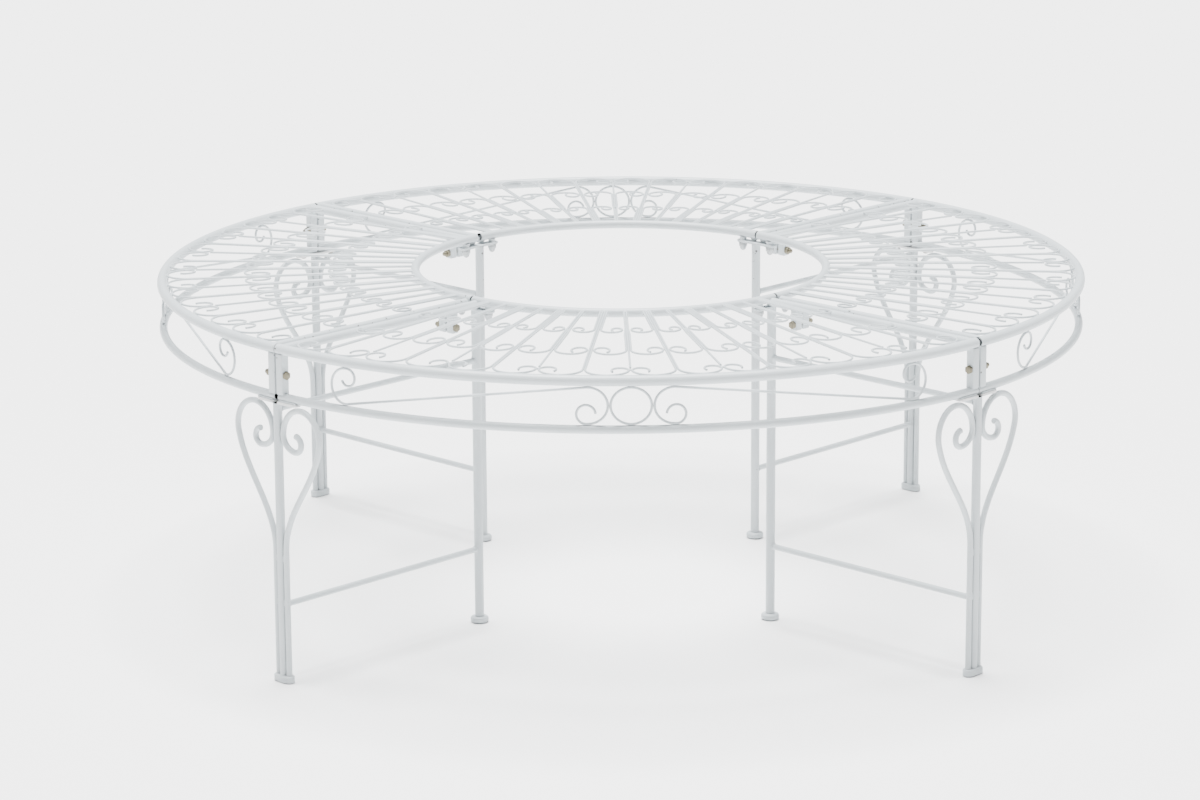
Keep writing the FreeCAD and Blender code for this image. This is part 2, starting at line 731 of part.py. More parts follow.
def dome_nuts(angle):
    """Closed nuts on the studs, under the bracket plate."""
    v = STUD_SPACING / 2
    u = tube_line(INNER_RADIUS, INNER_CHORDS, v)
    nuts = []
    for side in (-1, 1):
        rings = []
        for drop, width in ((0.0, DOME_NUT), (DOME_NUT_SIDE, DOME_NUT), (DOME_NUT_HEIGHT, DOME_NUT_TOP)):
            section = round_section(width, 6)
            z = BRACKET_BOTTOM - drop
            rings.append([turn(u + x, side * v + y, angle, z) for x, y in section])
        depth = BRACKET_BOTTOM - STUD_IN_NUT - HOLE_CLEARANCE
        bore = column(u, side * v, depth, BRACKET_BOTTOM + 1, STUD + BORE_CLEARANCE, 4, angle)
        nuts.append(drill(skin(rings), [bore]))
    return nuts


def save(name, solids):
    """One file for a piece, or for a group of separate solids."""
    shape = solids[0] if len(solids) == 1 else Part.makeCompound(solids)
    shape.exportStep(os.path.join("parts", name + ".step"))
    corners = 0
    for face in shape.Faces:
        corners += sum(len(wire.Edges) for wire in face.Wires) + 2 * len(face.Wires) - 4
    print(name, len(solids), "solids", corners, "facets", shape.isValid())
    return corners


QUARTER_PIECES = {
    "outer_rail": lambda: [outer_rail()],
    "inner_rail": lambda: [inner_rail()],
    "end_frames": end_frames,
    "apron_rail": lambda: [apron_rail()],
    "apron_scrollwork": apron_scrollwork,
    "outer_scrolls": outer_scrolls,
    "middle_scrolls": middle_scrolls,
    "inner_scrolls": inner_scrolls,
    "tie_wires": tie_wires,
}
LEG_PIECES = {
    "outer_leg": outer_leg,
    "heart_scrolls": heart_scrolls,
    "inner_leg": inner_leg,
    "cross_bars": cross_bars,
}
SHARED_PIECES = {
    "outer_feet": lambda angle: [outer_foot(angle)],
    "inner_feet": lambda angle: [inner_foot(angle)],
    "joint_bolts": joint_bolts,
    "joint_nuts": joint_nuts,
    "leg_plate_screws": plate_screws,
    "weld_studs": weld_studs,
    "dome_nuts": dome_nuts,
}


def main():
    os.makedirs("parts", exist_ok=True)
    facets = 0
    for piece, make in QUARTER_PIECES.items():
        solids = make()
        for name, angle in QUARTERS.items():
            facets += save(name + "_" + piece, [around(solid, angle) for solid in solids])
    for piece, make in LEG_PIECES.items():
        for name, angle in LEGS.items():
            facets += save(name + "_" + piece, make(angle))
    for piece, make in SHARED_PIECES.items():
        solids = []
        for angle in LEGS.values():
            solids += make(angle)
        facets += save(piece, solids)
    print("facets in all", facets)


main()
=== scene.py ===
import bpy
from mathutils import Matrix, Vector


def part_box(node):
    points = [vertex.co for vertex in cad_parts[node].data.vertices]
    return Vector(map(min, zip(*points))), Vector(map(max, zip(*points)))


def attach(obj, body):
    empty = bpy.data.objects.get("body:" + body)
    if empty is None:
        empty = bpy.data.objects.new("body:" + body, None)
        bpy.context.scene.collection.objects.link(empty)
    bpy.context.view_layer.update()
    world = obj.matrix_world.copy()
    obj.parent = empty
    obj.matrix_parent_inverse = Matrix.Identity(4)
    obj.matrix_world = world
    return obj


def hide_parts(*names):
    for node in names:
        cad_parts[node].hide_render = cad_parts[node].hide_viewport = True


bl_info = {
    "name": "Tree Bench",
    "version": (1, 0, 0),
    "blender": (4, 5, 0),
    "location": "View3D > Sidebar > Tree Bench",
    "description": "Round tubes, scrolled wires, feet, fasteners and white paint for a ring bench",
    "category": "Object",
}

import math
import bpy
from bpy.props import FloatProperty, FloatVectorProperty, PointerProperty
from bpy.types import Operator, Panel, PropertyGroup
from mathutils import Matrix, Vector

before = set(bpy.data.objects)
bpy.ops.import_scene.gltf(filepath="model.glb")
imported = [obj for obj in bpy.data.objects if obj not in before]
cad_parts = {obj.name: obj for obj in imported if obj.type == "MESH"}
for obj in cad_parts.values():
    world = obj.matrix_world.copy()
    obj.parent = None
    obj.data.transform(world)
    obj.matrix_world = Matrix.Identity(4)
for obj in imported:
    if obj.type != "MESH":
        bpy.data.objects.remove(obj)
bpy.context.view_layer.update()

MM = 0.001
# The middle of each quarter and the place of each leg, in degrees counterclockwise from +X.
QUARTERS = {"front": 270, "right": 0, "back": 90, "left": 180}
LEGS = {"front_left": 225, "front_right": 315, "back_right": 45, "back_left": 135}
HALF_QUARTER = 45.0
# The bars of a quarter are counted from its middle, and its end tubes stand at this one.
END_BAR = 8


def colour(hex_code):
    """sRGB hex value as the linear colour that a shader takes."""
    parts = [int(hex_code[i:i + 2], 16) / 255 for i in (1, 3, 5)]
    linear = [c / 12.92 if c <= 0.04045 else ((c + 0.055) / 1.055) ** 2.4 for c in parts]
    return (*linear, 1.0)


def top_of(node):
    """Height of the top of a node of the frame."""
    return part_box(node)[1].z


def bottom_of(node):
    """Height of the underside of a node of the frame."""
    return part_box(node)[0].z


RAIL_TOP = top_of("front_outer_rail")
INNER_TOP = top_of("front_inner_rail")
APRON_TOP = top_of("front_apron_rail")
APRON_BOTTOM = bottom_of("front_apron_rail")


def length(name, description, default):
    """Property for a size, given here in millimetres."""
    return FloatProperty(name=name, description=description, default=default * MM,
                         unit="LENGTH", min=0.0)


def gaps(name, description, default):
    """Property for the space at each leg, in millimetres and in the order of LEGS."""
    return FloatVectorProperty(name=name, description=description,
                               default=[gap * MM for gap in default], size=4,
                               unit="LENGTH", min=0.0)


def angle(name, description, default):
    """Property for an angle, given here in degrees."""
    return FloatProperty(name=name, description=description, default=math.radians(default),
                         unit="ROTATION", subtype="ANGLE")


def paint(name, description, default):
    """Property for a surface colour."""
    return FloatVectorProperty(name=name, description=description, default=colour(default),
                               size=4, subtype="COLOR", min=0.0, max=1.0)


class TREEBENCH_PG_seat(PropertyGroup):
    """Tubes of the seat's four quarters."""

    outer_radius: length("Outer radius", "Middle of the ring to the outer tube", 638)
    inner_radius: length("Inner radius", "Middle of the ring to the inner tube", 287)
    outer_tube: length("Outer tube", "Diameter of the outer tube", 14)
    inner_tube: length("Inner tube", "Diameter of the inner tube", 12)
    end_tube: length("End tube", "Diameter of the tubes beside the joints", 12)
    end_inset: length("End tube inset", "Joint plane to the end tube", 9)
    apron_tube: length("Apron tube", "Diameter of the lower tube", 11)
    tube_wall: length("Tube wall", "Wall of every tube", 1)
    outer_gaps: gaps("Outer gaps", "Space between the outer tubes at each leg", (1.5, 5.5, 3, 3))
    inner_gaps: gaps("Inner gaps", "Space between the inner tubes at each leg", (3, 3, 3, 7.5))
    apron_gaps: gaps("Apron gaps", "Space between the lower tubes at each leg", (7, 1.5, 6, 3))
    post: length("Post", "Side of the square posts", 12)
    post_inset: length("Post inset", "Joint plane to the middle of a post", 7.5)
    lug_radius: length("Lug radius", "Middle of the ring to the lugs", 334)
    lug: length("Lug", "Width of a lug", 10)
    lug_length: length("Lug length", "Length of a lug below the end tube", 26)


class TREEBENCH_PG_scrolls(PropertyGroup):
    """Scrolled wires of the seat."""

    wire: length("Wire", "Diameter of the seat wires", 3)
    root: length("Wire root", "Radius where the wires start, in the inner tube's side", 291.6)
    step: angle("Bar step", "Angle between two bars", 5.55)
    root_rise: length("Root rise", "Wires above the outer tube's top at their roots", 0.7)
    rim_drop: length("Rim drop", "Wires below the outer tube's top at the outer crowns", 2)
    outer_crown: length("Outer crown", "Radius that the outer row reaches", 631.2)
    middle_crown: length("Middle crown", "Radius that the middle row reaches", 524)
    inner_crown: length("Inner crown", "Radius that the inner row reaches", 407.5)
    outer_hook: length("Outer hook", "Half the width of the outer row's hooks", 11)
    middle_hook: length("Middle hook", "Half the width of the middle row's hooks", 10)
    inner_hook: length("Inner hook", "Half the width of the inner row's hooks", 7)
    hook_stretch: FloatProperty(name="Hook stretch", description="Length of a hook to its width",
                                default=1.45, min=1.0)
    outer_stretch: FloatProperty(name="Outer stretch", description="The same for the outer row",
                                 default=1.2, min=1.0)
    hook_start: angle("Hook start", "Angle on the crown where the hook begins", 85)
    outer_start: angle("Outer start", "The same for the outer row", 78)
    hook_end: angle("Hook end", "Angle on the hook where the wire ends", 315)
    outer_end: angle("Outer end", "The same for the outer row", 300)
    tie_start: length("Tie start", "Radius where the single wires begin", 395.5)
    pinch: length("Pinch", "Bar line to the middle row's wires, before the single wires", 1.6)


class TREEBENCH_PG_apron(PropertyGroup):
    """Wires between the outer tube and the lower one."""

    wire: length("Wire", "Diameter of the apron wires", 3.4)
    ring_width: length("Ring width", "Width of the ring over its wire", 55)
    hook: length("Hook", "Bend radius of the hook beside the ring", 12.2)
    loop_reach: length("Loop reach", "Middle of the apron to the end loop", 384)
    loop_width: length("Loop width", "Half the width of the end loop", 22.5)
    loop_hook: length("Loop hook", "Bend radius where the end loop turns in", 12.8)
    loop_tip: length("Loop tip", "Bend radius at the end of the loop", 9)


class TREEBENCH_PG_legs(PropertyGroup):
    """Legs, feet, plates and the bars between the legs."""

    radius: length("Leg radius", "Middle of the ring to the outer legs", 641)
    inner_radius: length("Inner leg radius", "Middle of the ring to the inner legs", 283)
    rod: length("Leg tube", "Diameter of the outer leg's middle tube", 12)
    heart: length("Half heart", "Diameter of the bent side rods", 8)
    heart_reach: length("Heart reach", "Middle of the leg to the widest point", 79)
    heart_leave: length("Heart start", "Height where the side rods leave the leg", 190)
    heart_rise: length("Heart rise", "Height of the heart over its widest point", 37)
    curl: length("Curl", "Bend radius at the end of a side rod", 11)
    curl_drop: length("Curl drop", "Widest point down to the curl's lowest", 20)
    curl_reach: length("Curl reach", "Side rod to the middle of its curl", 23)
    inner_rod: length("Inner rod", "Diameter of the inner leg", 12.5)
    bar: length("Bars", "Diameter of the stretcher and the upper bar", 8)
    plate: length("Plate", "Thickness of the leg plate and the bracket plate", 3)
    plate_edge: length("Plate edge", "Rounding of both plates' edges", 0.6)
    plate_width: length("Plate width", "Width of the leg plate", 16)
    plate_length: length("Plate length", "Length of the leg plate", 76)
    notch: length("Notch", "Width of the plate's notch over the leg tube", 9)
    bracket_width: length("Bracket width", "Width of the bracket plate", 15)
    bracket_length: length("Bracket length", "Length of the bracket plate", 72)
    foot_width: length("Foot width", "Width of the outer foot", 16)
    foot_length: length("Foot length", "Length of the outer foot", 33)
    foot_edge: length("Foot edge", "Rounding of the outer foot", 2)
    inner_foot: length("Inner foot", "Diameter of the round inner foot", 25)
    inner_foot_edge: length("Inner foot edge", "Rounding of the inner foot", 3.6)


class TREEBENCH_PG_fasteners(PropertyGroup):
    """Bolts, nuts and screws."""

    bolt: length("Bolt", "Diameter of the joint bolts", 6)
    bolt_end: length("Bolt end", "Thread that stands out past a nut", 5)
    post_bolt: length("Post bolt", "Height of the post's bolt above the lower tube", 24)
    lug_bolt: length("Lug bolt", "Depth of the lug's bolt below the end tube", 18)
    head: length("Head", "Width of bolt heads and nuts across the flats", 10)
    head_height: length("Head height", "Height of a bolt head", 4)
    nut_height: length("Nut height", "Height of a nut", 5)
    screw: length("Screw", "Diameter of the plate screws and the studs", 5)
    screw_head: length("Screw head", "Diameter of the plate screws' heads", 9)
    screw_spacing: length("Screw spacing", "Distance between a leg plate's screws", 54)
    stud_spacing: length("Stud spacing", "Distance between a bracket's studs", 52)
    spacer: length("Spacer", "Diameter of the spacers on the studs", 10)
    dome: length("Closed nut", "Width of the closed nuts across the flats", 11)
    dome_side: length("Closed nut side", "Height of a closed nut's flat sides", 4.5)
    washer: length("Washer", "Thickness of the washers above the closed nuts", 1.5)
    washer_width: length("Washer width", "Diameter of these washers", 13)
    pitch: length("Thread pitch", "Rise of the thread in one turn", 1)


class TREEBENCH_PG_finish(PropertyGroup):
    """Colours of the bench."""

    white: paint("Paint", "White paint on the steel", "#CBD1D4")
    shade: paint("Paint in the hollows", "Paint where it lies thick and cool", "#BAC2C5")
    # Painted shade: this grey is laid into the hollows between rods by ambient occlusion, in place
    # of contact shadows.
    hollow_shade_tint: paint("Painted hollow shade", "Painted shade in the hollows between rods", "#7F8588")
    chip: paint("Chips", "Primer and steel where the paint is chipped", "#3A3734")
    zinc: paint("Zinc", "Plated bolts, nuts and screws", "#807A68")
    nickel: paint("Nickel", "Plated closed nuts", "#B4B8BA")
    # Partly painted shade: the bare steel inside is tinted near black so the shadowed bores of
    # open tube ends read black.
    inside: paint("Inside", "Bare steel inside the tubes", "#14110E")


GROUPS = {
    "bench_seat": TREEBENCH_PG_seat,
    "bench_scrolls": TREEBENCH_PG_scrolls,
    "bench_apron": TREEBENCH_PG_apron,
    "bench_legs": TREEBENCH_PG_legs,
    "bench_fasteners": TREEBENCH_PG_fasteners,
    "bench_finish": TREEBENCH_PG_finish,
}


def deselect():
    """Nothing selected, so that an operator acts only on what is added next."""
    if bpy.context.mode != "OBJECT":
        bpy.ops.object.mode_set(mode="OBJECT")
    bpy.ops.object.select_all(action="DESELECT")


def activate(obj):
    """Selects one object alone."""
    deselect()
    obj.select_set(True)
    bpy.context.view_layer.objects.active = obj
    return obj


def settle():
    """Puts the active object's place into its mesh and returns it."""
    bpy.ops.object.transform_apply(location=True, rotation=True, scale=True)
    return bpy.context.object


def smooth(obj, degrees=40):
    """Smooth shading, except over sharp edges."""
    activate(obj)
    bpy.ops.object.shade_smooth_by_angle(angle=math.radians(degrees))
    return obj


def modify(obj, kind, **settings):
    """Adds a modifier with its settings and applies it."""
    activate(obj)
    modifier = obj.modifiers.new(kind.title(), kind)
    for name, value in settings.items():
        setattr(modifier, name, value)
    bpy.ops.object.modifier_apply(modifier=modifier.name)
    return obj


def eased(obj, width, segments=3, degrees=50):
    """Rounds an object's sharp edges."""
    modify(obj, "BEVEL", width=width, segments=segments, limit_method="ANGLE")
    return smooth(obj, degrees)


def turned(obj, degrees):
    """Copy of an object with its own mesh, turned about the middle of the ring."""
    copy = obj.copy()
    copy.data = obj.data.copy()
    copy.data.transform(Matrix.Rotation(math.radians(degrees), 4, "Z"))
    bpy.context.collection.objects.link(copy)
    return copy


def joined(parts):
    """One object from several."""
    activate(parts[0])
    for part in parts[1:]:
        part.select_set(True)
    if len(parts) > 1:
        bpy.ops.object.join()
    return bpy.context.object


def finish(obj, name, node=None, slot="white_paint"):
    """Names a piece, paints it and lets it stand for its node of the frame."""
    obj.name = name
    obj.data.name = name
    if not obj.data.materials:
        obj.data.materials.append(finish_of(slot))
    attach(obj, "root")
    if node:
        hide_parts(node)


def all_round(obj, places, suffix, node_suffix=None):
    """The same piece at every quarter or leg, modelled with the quarter or leg on the +X axis."""
    for place, degrees in places.items():
        node = place + "_" + node_suffix if node_suffix else None
        finish(turned(obj, degrees), place + "_" + suffix, node)
    bpy.data.objects.remove(obj)


def at_joints(obj, name, node, slot="white_paint"):
    """One piece that holds the copies at all four joints."""
    copies = [turned(obj, degrees) for degrees in LEGS.values()]
    bpy.data.objects.remove(obj)
    finish(joined(copies), name, node, slot)


def facing(axis):
    """Rotation that lays a primitive's own axis along a direction."""
    return Vector(axis).to_track_quat("Z", "Y").to_euler()


def hollow(obj, wall):
    """Gives a shell its wall, painted outside and bare inside."""
    for slot in ("white_paint", "inside"):
        obj.data.materials.append(finish_of(slot))
    return smooth(modify(obj, "SOLIDIFY", thickness=wall, offset=-1, material_offset=1))


def rod(start, end, diameter, sides=20, bevel=0.0, wall=0.0):
    """Round rod between two points, its end edges eased, or with a wall a tube with open ends."""
    start, end = Vector(start), Vector(end)
    deselect()
    bpy.ops.mesh.primitive_cylinder_add(
        vertices=sides, radius=diameter / 2, depth=(end - start).length,
        location=(start + end) / 2, rotation=facing(end - start),
        end_fill_type="NOTHING" if wall else "NGON")
    obj = settle()
    if wall:
        return hollow(obj, wall)
    return eased(obj, bevel, 2, 40) if bevel else smooth(obj)


def block(low, high, bevel):
    """Block between two corners with rounded edges."""
    low, high = Vector(low), Vector(high)
    deselect()
    bpy.ops.mesh.primitive_cube_add(size=1, location=(low + high) / 2)
    bpy.context.object.scale = high - low
    return eased(settle(), bevel)


def slab(middle, width, full_length, low, high, bevel):
    """Flat plate with half-round ends, its length across the joint plane."""
    half = width / 2
    deselect()
    bpy.ops.mesh.primitive_cylinder_add(vertices=32, radius=half, depth=high - low,
                                        location=(middle, 0, (low + high) / 2))
    obj = settle()
    for side in (-1, 1):
        bpy.ops.object.mode_set(mode="EDIT")
        bpy.ops.mesh.select_all(action="DESELECT")
        bpy.ops.object.mode_set(mode="OBJECT")
        for vertex in obj.data.vertices:
            vertex.select = vertex.co.y * side > half * 0.01
        bpy.ops.object.mode_set(mode="EDIT")
        bpy.ops.transform.translate(value=(0, side * (full_length / 2 - half), 0))
        bpy.ops.object.mode_set(mode="OBJECT")
    return eased(obj, bevel)


def bent_tube(radius, diameter, height, wall, end_gaps, steps):
    """Quarter of a ring of round tube, open at its ends, swept about the ring's middle."""
    start, end = (math.radians(side * HALF_QUARTER) - side * gap / 2 / radius
                  for side, gap in zip((-1, 1), end_gaps))
    deselect()
    bpy.ops.mesh.primitive_circle_add(
        vertices=28, radius=diameter / 2, rotation=(math.pi / 2, 0, start),
        location=(radius * math.cos(start), radius * math.sin(start), height))
    obj = settle()
    bpy.ops.object.mode_set(mode="EDIT")
    bpy.ops.mesh.select_all(action="SELECT")
    # Spin turns clockwise for a positive angle, so this one runs counterclockwise to the end.
    bpy.ops.mesh.spin(steps=steps, angle=start - end, center=(0, 0, 0), axis=(0, 0, 1))
    bpy.ops.mesh.select_all(action="SELECT")
    bpy.ops.mesh.remove_doubles(threshold=0.01 * MM)
    bpy.ops.mesh.normals_make_consistent(inside=False)
    bpy.ops.object.mode_set(mode="OBJECT")
    return hollow(obj, wall)


def wires(paths, diameter, closed=False, resolution=2):
    """Round wires along paths of points, made a mesh."""
    curve = bpy.data.curves.new("wire", "CURVE")
    curve.dimensions = "3D"
    curve.bevel_depth = diameter / 2
    curve.bevel_resolution = resolution
    curve.use_fill_caps = True
    for path in paths:
        spline = curve.splines.new("POLY")
        spline.points.add(len(path) - 1)
        for point, place in zip(spline.points, path):
            point.co = (*place, 1.0)
        spline.use_cyclic_u = closed
    obj = bpy.data.objects.new("wire", curve)
    bpy.context.collection.objects.link(obj)
    activate(obj)
    bpy.ops.object.convert(target="MESH")
    return smooth(bpy.context.object)


def bead(place, radius, stretch):
    """Dome of weld metal, painted over and drawn out along X, Y and Z."""
    deselect()
    bpy.ops.mesh.primitive_ico_sphere_add(subdivisions=2, radius=radius, location=place)
    bpy.context.object.scale = stretch
    return smooth(settle())


def collar(place, radius, thickness, normal):
    """Ring of weld round the end of a rod."""
    deselect()
    bpy.ops.mesh.primitive_torus_add(
        major_segments=24, minor_segments=8, major_radius=radius, minor_radius=thickness,
        location=place, rotation=facing(normal))
    return smooth(settle())


def dome(place, radius, height, rings):
    """Round head, a ball pressed to its height."""
    deselect()
    bpy.ops.mesh.primitive_uv_sphere_add(segments=20, ring_count=rings, radius=radius,
                                         location=place)
    bpy.context.object.scale = (1, 1, height / radius)
    return smooth(settle())


def spiral(centre, radii, start, end, count, end_radii=None):
    """Points round a centre, with angles in radians and radii that may change on the way."""
    points = []
    for i in range(count + 1):
        t = i / count
        a = start + (end - start) * t
        rx, ry = (r + (last - r) * t for r, last in zip(radii, end_radii or radii))
        points.append((centre[0] + rx * math.cos(a), centre[1] + ry * math.sin(a)))
    return points


def bend(start, leave, arrive, end, count):
    """Points of a smooth bend from one point to another, shaped by two more."""
    points = []
    for i in range(count + 1):
        t = i / count
        weights = ((1 - t) ** 3, 3 * t * (1 - t) ** 2, 3 * t ** 2 * (1 - t), t ** 3)
        points.append(tuple(sum(w * p[axis] for w, p in zip(weights, (start, leave, arrive, end)))
                            for axis in (0, 1)))
    return points


def on_ring(x, y, a, z):
    """Point at (x, y) in the plan of a bar, turned by an angle in radians."""
    return (x * math.cos(a) - y * math.sin(a), x * math.sin(a) + y * math.cos(a), z)


def wire_height(radius):
    """Height of the seat wires, which fall a little from the inner tube to the outer one."""
    sizes = bpy.context.scene.bench_scrolls
    share = (radius - sizes.root) / (sizes.outer_crown - sizes.root)
    return RAIL_TOP + sizes.root_rise - share * (sizes.root_rise + sizes.rim_drop)


def scroll_plan(own, meet, lobe, starts):
    """Plan of one seat scroll: out along its bar, round the crown and back in a tighter hook.

    The crown lies between two bars, and own and meet are its distances from their middles.
    The lobe is its crown's reach, then the hook's half width, stretch, start and end.
    """
    crown, hook, stretch, begin, end = lobe
    beta = bpy.context.scene.bench_scrolls.step / 2
    mean = (own + meet) / 2
    x = (crown + mean) / (1 + math.sin(beta))
    y = (own - meet) / 2 / math.cos(beta)
    radius = x * math.sin(beta) - mean
    points = [(along * math.cos(beta) + aside * math.sin(beta),
               aside * math.cos(beta) - along * math.sin(beta)) for along, aside in starts]
    points += spiral((x, y), (radius, radius), -math.pi / 2 - beta, begin, 14)
    long_hook = hook * stretch
    centre = (x + (radius - long_hook) * math.cos(begin), y + (radius - hook) * math.sin(begin))
    return points + spiral(centre, (long_hook, hook), begin, end, 16)[1:]


def beside_end_tube(crown):
    """Offset from an end bar at which a lobe of some crown touches its end tube."""
    sizes = bpy.context.scene.bench_scrolls
    seat = bpy.context.scene.bench_seat
    apart = (seat.end_tube + sizes.wire) / 2
    above = wire_height(crown) - RAIL_TOP + seat.end_tube / 2
    across = seat.end_inset + math.sqrt(apart ** 2 - above ** 2)
    lean = math.radians(HALF_QUARTER) - END_BAR * sizes.step
    along = crown / (1 + math.sin(sizes.step / 2))
    return (across - along * math.sin(lean)) / math.cos(lean)


def seat_scroll(bar, hand, own, meet, lobe, starts):
    """Points of one scroll's wire, to one hand of the bar that it starts on."""
    middle = bar + hand * bpy.context.scene.bench_scrolls.step / 2
    plan = scroll_plan(own, meet, lobe, starts)
    return [on_ring(x, hand * y, middle, wire_height(math.hypot(x, y))) for x, y in plan]


def add_node(tree, kind, settings=None, values=None, links=None):
    """Adds a shader node with its settings, input values and incoming links."""
    node = tree.nodes.new("ShaderNode" + kind)
    for name, value in (settings or {}).items():
        setattr(node, name, value)
    for socket, value in (values or {}).items():
        node.inputs[socket].default_value = value
    for socket, source in (links or {}).items():
        tree.links.new(source, node.inputs[socket])
    return node


def new_material(name):
    """Empty node material and its tree."""
    material = bpy.data.materials.new(name)
    material.use_nodes = True
    material.node_tree.nodes.clear()
    return material, material.node_tree


def powder_coat(name):
    """White powder coat on steel, sprayed and baked: satin, with a fine orange peel.

    It lies a little cooler in broad patches, darkens with painted shade in the hollows between
    rods, and is chipped where the quarters meet.
    """
    sizes = bpy.context.scene.bench_finish
    material, tree = new_material(name)
    place = add_node(tree, "TexCoord").outputs["Object"]
    # Patches of thicker paint 120 mm wide, chips of 6 mm and an orange peel of 2.2 mm.
    broad, specks, peel = (
        add_node(tree, "TexNoise", values={"Scale": 1 / (grain * MM), "Detail": detail},
                 links={"Vector": place}).outputs["Fac"]
        for grain, detail in ((120, 2.0), (6, 3.0), (2.2, 1.0)))
    tone = add_node(tree, "Mix", {"data_type": "RGBA"},
                    {"A": sizes.white, "B": sizes.shade}, {"Factor": broad})
    parts = add_node(tree, "SeparateXYZ", links={"Vector": place})
    across, along = (add_node(tree, "Math", {"operation": "ABSOLUTE"},
                              links={0: parts.outputs[axis]}).outputs[0] for axis in "XY")
    apart = add_node(tree, "Math", {"operation": "SUBTRACT"}, links={0: across, 1: along})
    off_joint = add_node(tree, "Math", {"operation": "ABSOLUTE"}, links={0: apart.outputs[0]})
    # Ambient occlusion within 5 mm: the mask of the painted shade in the hollows.
    open_air = add_node(tree, "AmbientOcclusion", {"samples": 8}, {"Distance": 5 * MM})
    # Each source with the two values that it runs between, and what they are turned to: wear
    # near a joint, only up at the seat, and painted shade in the hollows from ambient
    # occlusion, strong only below the leg plates.
    near, high, occlusion_shade_share, below = (
        add_node(tree, "MapRange", {"clamp": True},
                 {"From Min": low, "From Max": top, "To Min": least, "To Max": most},
                 {"Value": source}).outputs["Result"]
        for source, low, top, least, most in (
            (off_joint.outputs[0], 0.0, 22 * MM, 0.16, 0.0),
            (parts.outputs["Z"], 370 * MM, 440 * MM, 0.0, 1.0),
            (open_air.outputs["AO"], 0.7, 0.2, 0.0, 0.75),
            (parts.outputs["Z"], 355 * MM, 375 * MM, 1.0, 0.3)))
    worn_side, painted_shade_mask = (
        add_node(tree, "Math", {"operation": "MULTIPLY"}, links={0: one, 1: other}).outputs[0]
        for one, other in ((near, high), (occlusion_shade_share, below)))
    worn = add_node(tree, "Math", {"operation": "ADD"}, links={0: specks, 1: worn_side})
    chips = add_node(tree, "MapRange", {"clamp": True},
                     {"From Min": 0.77, "From Max": 0.80}, {"Value": worn.outputs[0]})
    # Painted shade: the darker grey mixed into the base colour where the hollows are occluded.
    shaded_tone = add_node(tree, "Mix", {"data_type": "RGBA"}, {"B": sizes.hollow_shade_tint},
                     {"Factor": painted_shade_mask, "A": tone.outputs["Result"]})
    base = add_node(tree, "Mix", {"data_type": "RGBA"}, {"B": sizes.chip},
                    {"Factor": chips.outputs["Result"], "A": shaded_tone.outputs["Result"]})
    rough = add_node(tree, "MapRange", values={"To Min": 0.36, "To Max": 0.48},
                     links={"Value": broad})
    bump = add_node(tree, "Bump", values={"Strength": 0.25, "Distance": 0.12 * MM},
                    links={"Height": peel})
    shader = add_node(tree, "BsdfPrincipled", values={"IOR": 1.5},
                      links={"Base Color": base.outputs["Result"],
                             "Roughness": rough.outputs["Result"],
                             "Normal": bump.outputs["Normal"]})
    add_node(tree, "OutputMaterial", links={"Surface": shader.outputs["BSDF"]})
    return material


def mottled(tree, tint, darkest, grain, detail):
    """A tint that darkens in patches of some grain, and the patches' pattern."""
    place = add_node(tree, "TexCoord").outputs["Object"]
    patches = add_node(tree, "TexNoise", values={"Scale": 1 / grain, "Detail": detail},
                       links={"Vector": place}).outputs["Fac"]
    tone = add_node(tree, "Mix", {"data_type": "RGBA"},
                    {"A": tint, "B": [c * darkest for c in tint[:3]] + [1.0]},
                    {"Factor": patches})
    return tone.outputs["Result"], patches


def plating(name, tint, roughness):
    """Plated steel: a thin metal coat, duller in patches where it has been handled."""
    material, tree = new_material(name)
    tone, patches = mottled(tree, tint, 0.72, 4 * MM, 3.0)
    rough = add_node(tree, "MapRange", values={"To Min": roughness, "To Max": roughness + 0.2},
                     links={"Value": patches})
    shader = add_node(tree, "BsdfPrincipled", values={"Metallic": 0.85},
                      links={"Base Color": tone, "Roughness": rough.outputs["Result"]})
    add_node(tree, "OutputMaterial", links={"Surface": shader.outputs["BSDF"]})
    return material


def bare_steel_and_painted_shade(name, tint):
    """Uncoated inner wall of a tube: dull and rust-stained, and near black as painted shade, so
    open ends read black.
    """
    material, tree = new_material(name)
    tone = mottled(tree, tint, 0.5, 3 * MM, 2.0)[0]
    shader = add_node(tree, "BsdfPrincipled", values={"Roughness": 0.8},
                      links={"Base Color": tone})
    add_node(tree, "OutputMaterial", links={"Surface": shader.outputs["BSDF"]})
    return material


def finish_of(slot):
    """Material of a slot, made once."""
    tints = bpy.context.scene.bench_finish
    name, make, settings = {
        "white_paint": ("white_powder_coat", powder_coat, ()),
        "zinc": ("yellowed_zinc", plating, (tuple(tints.zinc), 0.35)),
        "nickel": ("dull_nickel", plating, (tuple(tints.nickel), 0.28)),
        # Bare steel inside the tubes, tinted near black as painted shade for the bores.
        "inside": ("bare_steel_inside", bare_steel_and_painted_shade, (tuple(tints.inside),)),
    }[slot]
    return bpy.data.materials.get(name) or make(name, *settings)


